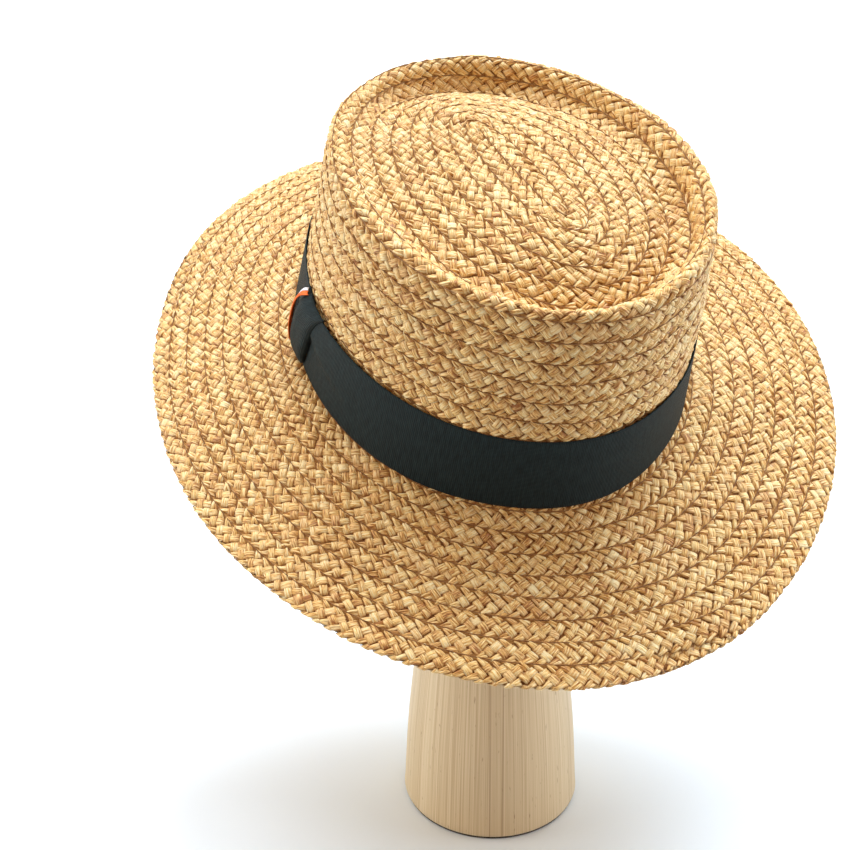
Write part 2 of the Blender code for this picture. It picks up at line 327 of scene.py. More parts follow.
# %% [markdown]
# Real straw isn't perfectly even: the brim waves by a fraction of a millimetre, and each row
# is a little rounded, so that there is a shallow valley along every seam.

# %% Waves and the sampler
WAVES = (
    # height, waves in a turn, by row, start
    (0.00035, 5.0, 0.55, 0.0),
    (0.000245, 11.0, -0.90, 1.3),
    (0.00021, 3.0, 1.70, 0.4),
)


def waves(row, turn):
    """Slow, small unevenness of the sewn straw."""
    angle = np.radians(turn)
    together = sum(height * np.sin(number * angle + by_row * row + start)
                   for height, number, by_row, start in WAVES)
    return smoothstep(row / 3.0) * together


def on_hat(row, turn, lift=0.0):
    """Places at a row and a turn, lifted off the straw's outer face, in the shared frame."""
    row, turn, lift = np.broadcast_arrays(np.asarray(row, float), np.asarray(turn, float),
                                          np.asarray(lift, float))
    turn = np.where(row < 0.0, -turn, turn) % 360.0
    row = np.abs(row)
    across = row / ROW_STEP
    low = np.clip(np.floor(across).astype(int), 0, len(row_places) - 2)
    share = (across - low)[..., None]
    round_place = turn / TURN_STEP
    first = np.floor(round_place).astype(int)
    part = (round_place - first)[..., None]
    first, following = first % len(turns), (first + 1) % len(turns)
    results = []
    for table in (places, normals):
        near = table[first, low] * (1.0 - share) + table[first, low + 1] * share
        far = table[following, low] * (1.0 - share) + table[following, low + 1] * share
        results.append(near * (1.0 - part) + far * part)
    return seated(results[0] + results[1] * (lift + waves(row, turn))[..., None])


# %% [markdown]
# ## The path of the plait
#
# `spiral` is the angle travelled, in degrees, and it starts below zero: the first half turn
# is the straight strip in the middle of the tip. The path's length is measured along the
# middle of the plait, because strands are spaced by length and not by angle.

# %% Path of the plait
START_SPIRAL, END_SPIRAL = -180.0, END_ROW * 360.0
TUCK_DEPTH, PRESS_DEPTH, SEAM_VALLEY = 0.0019, 0.0007, 0.00020
path_spiral = np.arange(START_SPIRAL, END_SPIRAL, 1.0)
path = on_hat(path_spiral / 360.0 + 0.5, path_spiral)
path_length = np.concatenate([[0.0], np.cumsum(np.linalg.norm(np.diff(path, axis=0), axis=1))])
print(f"the plait is {path_length[-1]:.2f} m long")


def tucked_below(slid, row, turn):
    """How far the sliding end lies beneath the row before it; nothing at the brim's edge."""
    return TUCK_DEPTH * smoothstep(slid / 0.30) * smoothstep((edge_row(turn) - row) / 0.45)


def pressed(row):
    """How far the ribbon presses the straw in."""
    band_rows = BAND_HEIGHT / CROWN_HEIGHT * SIDE_ROWS
    under_band = smoothstep((row - (FOOT_ROW - band_rows)) / 0.25)
    return PRESS_DEPTH * under_band * smoothstep((FOOT_ROW + 0.1 - row) / 0.25)


def place_on_plait(length, across, lift):
    """Places on the plait: length along it, across it from 0 to 1, and lift off its face."""
    spiral = np.interp(length, path_length, path_spiral)
    slid = tuck(END_SPIRAL - spiral)
    row = spiral / 360.0 + across - slid
    valley = SEAM_VALLEY * np.cos(2.0 * math.pi * across)
    outer_face = np.where(lift > -0.5 * STRAW_WALL, pressed(row), 0.0)
    return on_hat(row, spiral, lift - valley - tucked_below(slid, row, spiral) - outer_face)


# %% [markdown]
# ## Helpers for the pieces
#
# Most pieces start as a flat grid. Its points are told apart by their shares across and up
# it, from 0 to 1, and are then moved to their places.

# %% Piece helpers
def share_grid(across, up):
    """A flat grid, with the share across and the share up of each point."""
    shape = bmesh.new()
    bmesh.ops.create_grid(shape, x_segments=across, y_segments=up, size=0.5)
    shares = np.array([vertex.co[:2] for vertex in shape.verts]) + 0.5
    return shape, shares[:, 0], shares[:, 1]


def map_points(shape, name, values):
    """A UV map from one pair of values for each point."""
    layer = shape.loops.layers.uv.new(name)
    for face in shape.faces:
        for corner in face.loops:
            corner[layer].uv = values[corner.vert.index]


def move_points(shape, points, meeting):
    """Move every point, then join those that meet."""
    for vertex, point in zip(shape.verts, points):
        vertex.co = point
    bmesh.ops.remove_doubles(shape, verts=shape.verts, dist=meeting)


def mesh_from(shape, name):
    """A mesh from a bmesh that isn't needed any more."""
    mesh = bpy.data.meshes.new(name)
    shape.to_mesh(mesh)
    shape.free()
    return mesh


def placed(mesh, material):
    """A smooth object from a mesh and its material."""
    mesh.materials.append(material)
    mesh.shade_smooth()
    item = bpy.data.objects.new(mesh.name, mesh)
    bpy.context.collection.objects.link(item)
    return item


def piece_from(mesh, material, wall=0.0):
    """A piece of the hat or the stand; a wall thickens its mesh inwards."""
    item = placed(mesh, material)
    if wall:
        item.modifiers.new("Wall", "SOLIDIFY").thickness = wall
    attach(item, "root")
    return item


# %% [markdown]
# ## Materials
#
# Straw first. Each float carries a colour attribute: red is its tone, green is its hue and
# blue is its height, so the material can paint shade on the ends that dive beneath a neighbour.
# The fine fibres come from a noise that is stretched along the float's own UV map. The
# fibre pattern is a node group, because the shadow layer and the ribbon use it as well.

# %% Node helpers
def new_material(name, roughness, specular=0.5):
    """A material with a Principled shader; returns it with its node tree and shader."""
    material = bpy.data.materials.new(name)
    material.use_nodes = True
    tree = material.node_tree
    shader = tree.nodes["Principled BSDF"]
    shader.inputs["Roughness"].default_value = roughness
    shader.inputs["Specular IOR Level"].default_value = specular
    return material, tree, shader


def node(tree, kind, **settings):
    """A node with its settings."""
    made = tree.nodes.new(kind)
    for key, value in settings.items():
        setattr(made, key, value)
    return made


def ramp(tree, factor, *stops):
    """A colour ramp fed by factor; each stop is a place and a colour."""
    made = tree.nodes.new("ShaderNodeValToRGB")
    elements = made.color_ramp.elements
    while len(elements) < len(stops):
        elements.new(0.5)
    for element, (place, colour) in zip(elements, stops):
        element.position = place
        element.color = (*colour, 1.0)
    tree.links.new(factor, made.inputs["Fac"])
    return made.outputs["Color"]


def blend_colours(tree, factor, first, second):
    """Mix two colours; factor and colours are sockets or values."""
    made = node(tree, "ShaderNodeMix", data_type="RGBA")
    for socket, value in ((0, factor), (6, first), (7, second)):
        if isinstance(value, bpy.types.NodeSocket):
            tree.links.new(value, made.inputs[socket])
        else:
            made.inputs[socket].default_value = value
    return made.outputs[2]


def maths(tree, operation, first, second=0.0, clamp=False):
    """A maths node; its inputs are sockets or values."""
    made = node(tree, "ShaderNodeMath", operation=operation, use_clamp=clamp)
    for socket, value in enumerate((first, second)):
        if isinstance(value, bpy.types.NodeSocket):
            tree.links.new(value, made.inputs[socket])
        else:
            made.inputs[socket].default_value = value
    return made.outputs[0]


def object_place(tree):
    """The place of a point on its object."""
    return node(tree, "ShaderNodeTexCoord").outputs["Object"]


def parts_of(tree, vector):
    """The X, Y and Z of a vector."""
    made = node(tree, "ShaderNodeSeparateXYZ")
    tree.links.new(vector, made.inputs[0])
    return made.outputs


def joined(tree, **parts):
    """A vector from the parts named X, Y or Z."""
    made = node(tree, "ShaderNodeCombineXYZ")
    for name, value in parts.items():
        tree.links.new(value, made.inputs[name])
    return made.outputs[0]


def noise(tree, vector, scale, detail=2.0, dimensions="3D"):
    """A noise pattern on a vector."""
    made = node(tree, "ShaderNodeTexNoise", noise_dimensions=dimensions)
    made.inputs["Scale"].default_value = scale
    made.inputs["Detail"].default_value = detail
    tree.links.new(vector, made.inputs["Vector"])
    return made.outputs["Fac"]


def bump(tree, shader, height, strength, distance):
    """Relief on the shader from a height."""
    made = node(tree, "ShaderNodeBump")
    made.inputs["Strength"].default_value = strength
    made.inputs["Distance"].default_value = distance
    tree.links.new(height, made.inputs["Height"])
    tree.links.new(made.outputs["Normal"], shader.inputs["Normal"])


# %% Fibre group
fibres = bpy.data.node_groups.new("fibres", "ShaderNodeTree")
fibres.interface.new_socket("Vector", in_out="INPUT", socket_type="NodeSocketVector")
fibres.interface.new_socket("Fine", in_out="INPUT", socket_type="NodeSocketFloat")
fibres.interface.new_socket("Long", in_out="INPUT", socket_type="NodeSocketFloat")
fibres.interface.new_socket("Ridges", in_out="OUTPUT", socket_type="NodeSocketFloat")
fibres.interface.new_socket("Blotches", in_out="OUTPUT", socket_type="NodeSocketFloat")
group_in = node(fibres, "NodeGroupInput")
group_out = node(fibres, "NodeGroupOutput")
parts = parts_of(fibres, group_in.outputs["Vector"])
drawn_out = joined(fibres, X=maths(fibres, "MULTIPLY", parts["X"], group_in.outputs["Fine"]),
                   Y=maths(fibres, "MULTIPLY", parts["Y"], group_in.outputs["Long"]))
for output, scale in (("Ridges", 1.0), ("Blotches", 0.35)):
    fibres.links.new(noise(fibres, drawn_out, scale, dimensions="2D"), group_out.inputs[output])


def fibre_node(tree, vector, fine, long):
    """The fibre group in a material, with its own fineness across and along."""
    made = node(tree, "ShaderNodeGroup", node_tree=fibres)
    made.inputs["Fine"].default_value = fine
    made.inputs["Long"].default_value = long
    tree.links.new(vector, made.inputs["Vector"])
    return made.outputs["Ridges"], made.outputs["Blotches"]


# %% Straw
straw, tree, shader = new_material("straw", 0.5, 0.5)
about_float = node(tree, "ShaderNodeAttribute", attribute_name="straw")
channels = node(tree, "ShaderNodeSeparateColor")
tree.links.new(about_float.outputs["Color"], channels.inputs[0])
tone, hue, height = (channels.outputs[name] for name in ("Red", "Green", "Blue"))
strand_map = node(tree, "ShaderNodeUVMap", uv_map="strand").outputs["UV"]
ridges, blotches = fibre_node(tree, strand_map, 1.9, 0.22)
shade = maths(tree, "ADD", tone, maths(tree, "MULTIPLY", maths(tree, "SUBTRACT", ridges, 0.5), 1.9))
golden = ramp(tree, shade, (0.0, (0.40, 0.15, 0.03)), (0.27, (0.74, 0.40, 0.10)),
              (0.55, (0.95, 0.66, 0.25)), (1.0, (1.0, 0.85, 0.48)))
tan = ramp(tree, shade, (0.0, (0.38, 0.15, 0.04)), (0.4, (0.76, 0.42, 0.14)),
           (1.0, (1.0, 0.74, 0.36)))
face = blend_colours(tree, hue, golden, tan)
# Painted shade: the lower a point lies on its float, the more it is mixed to dark brown, for the shade on
# the ends that dive beneath a neighbour.
painted_shade_mask = maths(tree, "POWER", maths(tree, "SUBTRACT", 1.0, height, clamp=True), 1.4)
face = blend_colours(tree, maths(tree, "MULTIPLY", painted_shade_mask, 0.9), face, (0.24, 0.085, 0.02, 1.0))
tree.links.new(face, shader.inputs["Base Color"])
tree.links.new(maths(tree, "ADD", maths(tree, "MULTIPLY", blotches, 0.25), 0.36),
               shader.inputs["Roughness"])
bump(tree, shader, ridges, 0.9, 0.0006)

# %% Straw shadow layer and seam thread
painted_shadow_material, tree, shader = new_material("straw_shadow", 0.9, 0.2)
row_map = node(tree, "ShaderNodeUVMap", uv_map="rows").outputs["UV"]
ridges, blotches = fibre_node(tree, row_map, 9.0, 1.2)
across_row = maths(tree, "FRACT", parts_of(tree, row_map)["X"])
from_middle = maths(tree, "ABSOLUTE", maths(tree, "SUBTRACT", across_row, 0.5))
by_seam = maths(tree, "MULTIPLY", maths(tree, "SUBTRACT", from_middle, 0.33), 9.0, clamp=True)
# The shell's colour is painted shade: dark between the squares, and a lighter straw brown beside the seams.
deep = ramp(tree, ridges, (0.3, (0.12, 0.045, 0.012)), (0.7, (0.24, 0.10, 0.03)))
shallow = ramp(tree, ridges, (0.3, (0.30, 0.13, 0.035)), (0.7, (0.56, 0.31, 0.10)))
tree.links.new(blend_colours(tree, by_seam, deep, shallow), shader.inputs["Base Color"])

thread, tree, shader = new_material("seam_thread", 0.7, 0.3)
specks = noise(tree, object_place(tree), 420.0)
tree.links.new(ramp(tree, specks, (0.3, (0.16, 0.065, 0.022)), (0.7, (0.40, 0.20, 0.07))),
               shader.inputs["Base Color"])

# %% [markdown]
# ## One float, and thousands of them
#
# What the eye sees of a plait is its floats: short pieces of strand that come up, cross over
# a neighbour and dive again. A float starts as a small grid. An Array modifier repeats it,
# and stacks the copies one unit apart along Z, so a copy's height tells which float it is.
# Then every point is moved to its place on the plait. A float has only a few dozen faces.
#
# The floats stand in lines along the plait, or wales. Beside each seam there is a line of
# leaves in pairs, slim and pointed at the seam. Between them are two lines of plump squares.
# Neighbours slant opposite ways and are half a repeat apart. The last wale folds round the
# brim's edge, and only the last turn of the plait has it.

# %% Floats
REPEAT = 0.0056
WALES = (
    # place across, slant, half length, half width, pointed, aside, step, way of the strand
    (0.120, 32.0, 0.00285, 0.00086, 1.0, 0.00078, 0.0, 0),
    (0.120, 32.0, 0.00285, 0.00086, 1.0, -0.00078, 0.0, 0),
    (0.880, -32.0, 0.00285, 0.00086, 1.0, 0.00078, 0.5, 1),
    (0.880, -32.0, 0.00285, 0.00086, 1.0, -0.00078, 0.5, 1),
    (1.110, -55.0, 0.00250, 0.00170, 0.0, 0.00000, 0.0, 1),
    (0.372, -43.0, 0.00255, 0.00182, 0.0, 0.00000, 0.5, 1),
    (0.628, 43.0, 0.00255, 0.00182, 0.0, 0.00000, 0.0, 0),
)
LEAVES, SQUARES, EDGE_WALE = (0, 1, 2, 3, 4), (5, 6), 4
CREST, BASE = 0.00035, -0.00090
ROW_SIZE = 0.0090
STRANDS_EACH_WAY, STRANDS = 5000, 12000
STRETCH_STEP = 0.045
rng = np.random.default_rng(7)


def float_grid(name, along, across):
    """One flat float, as a grid two units long and wide."""
    shape = bmesh.new()
    bmesh.ops.create_grid(shape, x_segments=along, y_segments=across, size=1.0)
    return mesh_from(shape, name)


def repeated(name, unit, count):
    """A mesh of count copies of a unit, copy k moved up by k units."""
    item = bpy.data.objects.new(name, unit)
    bpy.context.collection.objects.link(item)
    copies = item.modifiers.new("Copies", "ARRAY")
    copies.use_relative_offset = False
    copies.use_constant_offset = True
    copies.constant_offset_displace = (0.0, 0.0, 1.0)
    copies.count = count
    evaluated = item.evaluated_get(bpy.context.evaluated_depsgraph_get())
    mesh = bpy.data.meshes.new_from_object(evaluated)
    bpy.data.objects.remove(item)
    mesh.name = name
    return mesh


def all_floats():
    """Every float of the plait: one line each, as named columns."""
    columns = {name: [] for name in ("wale", "length", "across", "slant", "half_length",
                                     "half_width", "pointed", "aside", "strand")}
    count = int(path_length[-1] / REPEAT)
    last_turn = np.interp(END_SPIRAL - 360.0, path_spiral, path_length)
    for wale, (place, slant, half_length, half_width, pointed, aside, step, way) in enumerate(WALES):
        number = np.arange(int(last_turn / REPEAT) if wale == EDGE_WALE else 0, count)
        same = {"wale": wale, "across": place, "slant": slant, "half_length": half_length,
                "half_width": half_width, "pointed": pointed, "aside": aside}
        for name, value in same.items():
            columns[name].append(np.full(len(number), value))
        columns["length"].append((number + step + 0.25) * REPEAT)
        columns["strand"].append(number - (place > 0.5) + STRANDS_EACH_WAY * way)
    return {name: np.concatenate(values) for name, values in columns.items()}


floats = all_floats()
total = len(floats["wale"])
strand_tone = rng.normal(0.0, 0.06, STRANDS)
strand_hue = rng.random(STRANDS) ** 3.0 * 0.7
strand_size = rng.normal(1.0, 0.06, STRANDS)
stretch_places = np.arange(0.0, path_length[-1] + 0.2, STRETCH_STEP)
stretch = np.cumsum(rng.normal(0.0, 0.0009, len(stretch_places)))
stretch -= np.interp(stretch_places, stretch_places[::8], stretch[::8])
of_strand = floats["strand"]
floats["tone"] = np.clip(0.5 + strand_tone[of_strand] + rng.normal(0.0, 0.11, total), 0.0, 1.0)
floats["hue"] = np.clip(strand_hue[of_strand] + rng.normal(0.0, 0.10, total), 0.0, 1.0)
floats["length"] += (rng.normal(0.0, 0.00024, total)
                     + np.interp(floats["length"], stretch_places, stretch))
floats["across"] += rng.normal(0.0, 0.016, total)
floats["slant"] += rng.normal(0.0, 6.0, total)
floats["half_length"] *= rng.normal(1.0, 0.09, total)
floats["half_width"] *= strand_size[of_strand] * rng.normal(1.0, 0.05, total)
floats["rise"] = rng.normal(1.0, 0.15, total) * np.where(floats["wale"] == EDGE_WALE, 0.6, 1.0)
floats["tilt"] = rng.normal(0.0, 0.12, total)
for column in ("left_groove", "right_groove"):
    floats[column] = rng.random(total) * 0.6
floats["spiral"] = np.interp(floats["length"], path_length, path_spiral)
floats["row"] = floats["spiral"] / 360.0 + np.minimum(floats["across"], 0.99)
print(f"{total} floats on one side of the plait")


def plait(name, unit, wales, first_row, last_row, under=False):
    """The floats of some wales between two rows as one piece, on the outer face or beneath."""
    chosen = np.flatnonzero((floats["row"] >= first_row) & (floats["row"] < last_row)
                            & np.isin(floats["wale"], wales))
    mesh = repeated(name, unit, len(chosen))
    points = np.empty(len(mesh.vertices) * 3)
    mesh.vertices.foreach_get("co", points)
    points = points.reshape(-1, 3)
    along, across = (np.sign(points[:, axis]) * np.abs(points[:, axis]) ** crowding
                     for axis, crowding in ((0, 0.75), (1, 0.8)))
    which = chosen[np.rint(points[:, 2]).astype(int)]
    mine = {column: values[which] for column, values in floats.items()}

    narrowing = 1.0 - 0.10 * along ** 4
    leaf = np.clip(1.0 - np.clip(-along, 0.0, 1.0) ** 2.4 * 0.38 - 0.10 * along ** 4, 0.1, 1.0)
    width = mine["half_width"] * (narrowing * (1.0 - mine["pointed"]) + leaf * mine["pointed"])
    slant = np.radians(mine["slant"]) * (-1.0 if under else 1.0)
    forward = along * mine["half_length"]
    sideways = across * width + mine["aside"] * (0.55 + 0.45 * along)
    onward = forward * np.cos(slant) - sideways * np.sin(slant)
    outward = forward * np.sin(slant) + sideways * np.cos(slant)
    groove = np.where(across < 0.0, mine["left_groove"], mine["right_groove"])
    groove = groove * np.exp(-((np.abs(across) - 0.508) / 0.14) ** 2)
    level = (1.0 - np.abs(along) ** 3.2) ** 0.8 * (1.0 - 0.85 * np.abs(across) ** 8.0)
    raised = level * mine["rise"] * (1.0 - groove) + mine["tilt"] * across * level
    lift = BASE + (CREST - BASE) * raised
    if under:
        lift = -STRAW_WALL - lift
    world = place_on_plait(mine["length"] + onward, mine["across"] + outward / ROW_SIZE, lift)
    mesh.vertices.foreach_set("co", world.reshape(-1))

    # Blue is the float's height, from which the straw material paints shade on the float's low ends.
    colour = mesh.color_attributes.new("straw", "FLOAT_COLOR", "POINT")
    values = np.stack([mine["tone"], mine["hue"], level, np.ones_like(level)], axis=1)
    colour.data.foreach_set("color", values.reshape(-1))
    uv = mesh.uv_layers.new(name="strand")
    corner = np.empty(len(mesh.loops), dtype=np.int32)
    mesh.loops.foreach_get("vertex_index", corner)
    flat = np.stack([sideways * 1000.0 + which * 7.31, forward * 1000.0 + which * 3.17], axis=1)
    uv.data.foreach_set("uv", flat[corner].reshape(-1))
    if under:
        mesh.flip_normals()
    mesh.update()
    print(f"{name}: {len(chosen)} floats, {sum(len(face.vertices) - 2 for face in mesh.polygons)} triangles")
    return piece_from(mesh, straw)


# %% [markdown]
# The outer face is six pieces, squares and leaves for the tip, the side and the brim. The
# inner face needs less: one leaf stands for a pair there, and wider.

# %% Plait pieces
FIRST_ROW, PAST_ROWS = -1.0, 30.0
UNDER_WALES = (0, 3, 4, 5, 6)
square_grid, leaf_grid = float_grid("square_float", 4, 7), float_grid("leaf_float", 4, 4)
under_grid, lining_grid = float_grid("under_float", 3, 3), float_grid("lining_float", 2, 2)
plait("crown_tip_plait", square_grid, SQUARES, FIRST_ROW, TIP_ROWS)
crown_side_plait = plait("crown_side_plait", square_grid, SQUARES, TIP_ROWS, FOOT_ROW)
plait("crown_tip_plait_edges", leaf_grid, LEAVES, FIRST_ROW, TIP_ROWS)
plait("crown_side_plait_edges", leaf_grid, LEAVES, TIP_ROWS, FOOT_ROW)
brim_plait = plait("brim_plait", square_grid, SQUARES, FOOT_ROW, PAST_ROWS)
plait("brim_plait_edges", leaf_grid, LEAVES, FOOT_ROW, PAST_ROWS)
floats["half_width"] *= np.where(np.isin(floats["wale"], SQUARES), 1.08, 1.7)
floats["aside"] *= 0.0
plait("crown_lining_plait", lining_grid, UNDER_WALES, FIRST_ROW, FOOT_ROW, under=True)
plait("brim_under_plait", under_grid, UNDER_WALES, FOOT_ROW, PAST_ROWS, under=True)
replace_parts(crown_side_plait, "crown")
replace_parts(brim_plait, "brim")

# %% [markdown]
# ## The shadow layer and the seams
#
# Between the floats one looks into the plait. A thin shell in the middle of its thickness stops
# the eye there; its colour is the straw beneath, darkened with painted shade. The seam thread
# is a fine tube along the plait's inner edge, in the valley between two rows.

# %% Shadow layer
SHADOW_DEPTH, SHADOW_WALL, SHADOW_INSET = 0.00085, 0.0002, 0.12


def shadow_layer():
    """A thin shell in the middle of the straw's thickness, mapped by its rows."""
    shape, round_share, row_share = share_grid(200, 90)
    turn = round_share * 360.0
    row = row_share * (edge_row(turn) - SHADOW_INSET)
    slid = tuck((END_TURN - turn) % 360.0)
    sliding = smoothstep((row - (edge_row(turn) + slid - 1.45)) / 0.4)
    depth = SHADOW_DEPTH + sliding * tucked_below(slid, row, turn) + pressed(row)
    map_points(shape, "rows", np.stack([row - turn / 360.0, turn], axis=1))
    move_points(shape, on_hat(row, turn, -depth), 0.00002)
    return piece_from(mesh_from(shape, "straw_shadow_layer"), painted_shadow_material, SHADOW_WALL)


shadow_layer()

# %% Seam thread
THREAD_RADIUS, THREAD_STEP, THREAD_LIFT = 0.00026, 0.0022, 0.00020


def seam_thread():
    """A fine tube along the plait's inner edge."""
    shape, along_share, round_share = share_grid(int(path_length[-1] / THREAD_STEP), 3)
    length = along_share * path_length[-1]
    angle = round_share * 2.0 * math.pi
    wander = 0.00012 * np.sin(length * 1900.0)
    across = (THREAD_RADIUS * np.cos(angle) + wander) / ROW_SIZE
    lift = THREAD_LIFT + THREAD_RADIUS * np.sin(angle)
    move_points(shape, place_on_plait(length, across, lift), 0.000004)
    return piece_from(mesh_from(shape, "seam_thread"), thread)


seam_thread()

# %% [markdown]
# ## The ribbon, its keeper and the two trims
#
# The band is one grosgrain ribbon, stretched round the foot of the crown, so it starts as a
# long grid that is bent round the oval and closed. Beside the keeper it is gathered: above a
# slanting crease it bulges, and below the crease it lies flat. The keeper is a short piece of
# the same ribbon that is wrapped over the band and pads out into a soft tab. Two narrow
# ribbons, orange and white, follow its far edge.

# %% Ribbon materials
RIBS, THREADS = 8.0, 9.0


def ribbon_material(name, dark, light):
    """Woven ribbon: ribs across it, fine threads along it, and a soft sheen."""
    material, tree, shader = new_material(name, 0.62, 0.12)
    shader.inputs["Sheen Weight"].default_value = 0.03
    shader.inputs["Sheen Roughness"].default_value = 0.45
    woven = node(tree, "ShaderNodeUVMap", uv_map="weave").outputs["UV"]
    parts = parts_of(tree, woven)
    ribbed = maths(tree, "SINE", maths(tree, "MULTIPLY", parts["X"], RIBS))
    threads = maths(tree, "SINE", maths(tree, "MULTIPLY", parts["Y"], THREADS))
    height = maths(tree, "ADD", ribbed, maths(tree, "MULTIPLY", threads, 0.35))
    ridges, blotches = fibre_node(tree, woven, 3.0, 0.5)
    shade = maths(tree, "ADD", maths(tree, "MULTIPLY", height, 0.16), blotches)
    tree.links.new(ramp(tree, shade, (0.2, dark), (0.85, light)), shader.inputs["Base Color"])
    tree.links.new(maths(tree, "ADD", maths(tree, "MULTIPLY", ridges, 0.2), 0.5),
                   shader.inputs["Roughness"])
    bump(tree, shader, height, 0.55, 0.00012)
    return material


ribbon = ribbon_material("ribbon", (0.006, 0.0113, 0.0118), (0.016, 0.0305, 0.0315))
orange = ribbon_material("orange_ribbon", (0.80, 0.13, 0.02), (1.0, 0.22, 0.05))
white = ribbon_material("white_ribbon", (0.70, 0.71, 0.74), (0.92, 0.93, 0.95))

# %% Ribbon sheets
RIBBON_THICKNESS = 0.0004
BAND_FACE = SEAT_GAP + RIBBON_WALL - 0.0003
MEAN_RADIUS = HEAD_HALF_WIDTH + OVAL_STRETCH / 2.0
KEEPER_NEAR = 79.5


def area_of(sheet):
    """The area of one side of a sheet."""
    return sum(face.area for face in sheet.data.polygons)


def ribbon_sheet(name, material, across, up, scale, place):
    """A thin ribbon from a grid; place gives points from the shares across and up it."""
    shape, across_share, up_share = share_grid(across, up)
    points = seated(place(across_share, up_share))
    map_points(shape, "weave", np.stack([across_share * scale[0], up_share * scale[1]], axis=1) * 1000.0)
    move_points(shape, points, 0.00001)
    sheet = piece_from(mesh_from(shape, name), material, RIBBON_THICKNESS)
    print(f"{name}: {area_of(sheet) * 10000.0:.1f} square cm")
    return sheet


def crease(height, turn):
    """The gathered bulge above a slanting crease, on the keeper's near side."""
    past = (turn - KEEPER_NEAR) / 26.0
    fading = smoothstep(past * 6.0 + 1.0) * smoothstep(1.0 - past)
    line = 0.52 - 0.30 * past
    share = height / BAND_HEIGHT
    above = smoothstep((share - line) / 0.12) * (1.0 - 0.75 * smoothstep((share - line) / 0.75))
    return PLEAT_RISE * fading * above


def band_place(around_share, up_share):
    """The band: round the crown from behind the keeper and back."""
    turn = KEEPER_TURN + around_share * 360.0
    height = SEAT_GAP + (BAND_HEIGHT - SEAT_GAP) * up_share
    hug = 0.00025 * np.sin(np.radians(turn * 7.0)) * (1.0 - up_share)
    return crown_side(height, turn, BAND_FACE + hug + crease(height, turn))


band = ribbon_sheet("ribbon_band", ribbon, 320, 24, (0.57, 0.035), band_place)
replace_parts(band, "hatband")

# %% Keeper and trims
KEEPER_SECTIONS = (
    # height share, far turn, near turn, rise
    (0.00, 71.6, 76.2, 0.0016),
    (0.08, 69.8, 77.8, 0.0034),
    (0.25, 69.0, 78.8, 0.0050),
    (0.50, 68.9, 79.8, 0.0053),
    (0.72, 69.5, 81.0, 0.0047),
    (0.90, 71.9, 83.0, 0.0034),
    (1.00, 74.4, 84.8, 0.0018),
)
KEEPER_LOW, KEEPER_HIGH = -0.0006, BAND_HEIGHT + 0.0012


def keeper_column(column, share):
    """A column of KEEPER_SECTIONS at any share of the keeper's height."""
    knots = np.array([section[0] for section in KEEPER_SECTIONS])
    values = np.array([section[column] for section in KEEPER_SECTIONS])
    slopes = np.gradient(values, knots)
    index = np.clip(np.searchsorted(knots, share, side="right") - 1, 0, len(knots) - 2)
    gap = knots[index + 1] - knots[index]
    return eased((share - knots[index]) / gap, values[index], slopes[index] * gap,
                 values[index + 1], slopes[index + 1] * gap)


def keeper_place(across_share, up_share):
    """The keeper: a soft tab whose sides and ends roll in towards the band."""
    height = KEEPER_LOW + (KEEPER_HIGH - KEEPER_LOW) * up_share
    far, near = keeper_column(1, up_share), keeper_column(2, up_share)
    side = 2.0 * across_share - 1.0
    turn = far + (near - far) * across_share
    roll = (1.0 - np.abs(side) ** 3.5) ** 0.6
    lean = 0.84 - 0.45 * side * (1.0 - np.abs(side))
    end = (1.0 - np.abs(2.0 * up_share - 1.0) ** 6.0) ** 0.5
    out = BAND_FACE + 0.0005 + keeper_column(3, up_share) * roll * lean * (0.25 + 0.75 * end)
    return crown_side(height, turn, out)


def trim_place(start, width):
    """A narrow ribbon round the keeper's far edge, from start to start plus width."""
    def place(across_share, up_share):
        share = 0.10 + 0.90 * up_share
        height = KEEPER_LOW + (KEEPER_HIGH - KEEPER_LOW) * share
        beyond = start + width * (1.0 - across_share)
        turn = keeper_column(1, share) - np.degrees(beyond / MEAN_RADIUS)
        crown = 0.0004 * (1.0 - (2.0 * across_share - 1.0) ** 2)
        slope = 0.92 * keeper_column(3, share) * (1.0 - smoothstep((beyond + 0.0008) / 0.0074))
        return crown_side(height, turn, BAND_FACE + 0.0006 + slope + crown)
    return place


keeper = ribbon_sheet("ribbon_keeper", ribbon, 22, 36, (0.018, 0.045), keeper_place)
orange_trim = ribbon_sheet("orange_trim", orange, 6, 36, (0.0021, 0.045),
                           trim_place(-0.0006, 0.0027))
white_trim = ribbon_sheet("white_trim", white, 5, 36, (0.0014, 0.045),
                          trim_place(0.0021, 0.0018))
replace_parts(keeper, "band_keeper")
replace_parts(orange_trim, "trim_orange")
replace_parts(white_trim, "trim_white")

# %% [markdown]
# ## The stand
#
# The stand is turned from a block glued up from boards. Its profile is spun round the Z axis.
# The grain stands upright, so its pattern follows the direction round the stand, and hardly
# the height. The glue lines are flat sheets across the block.

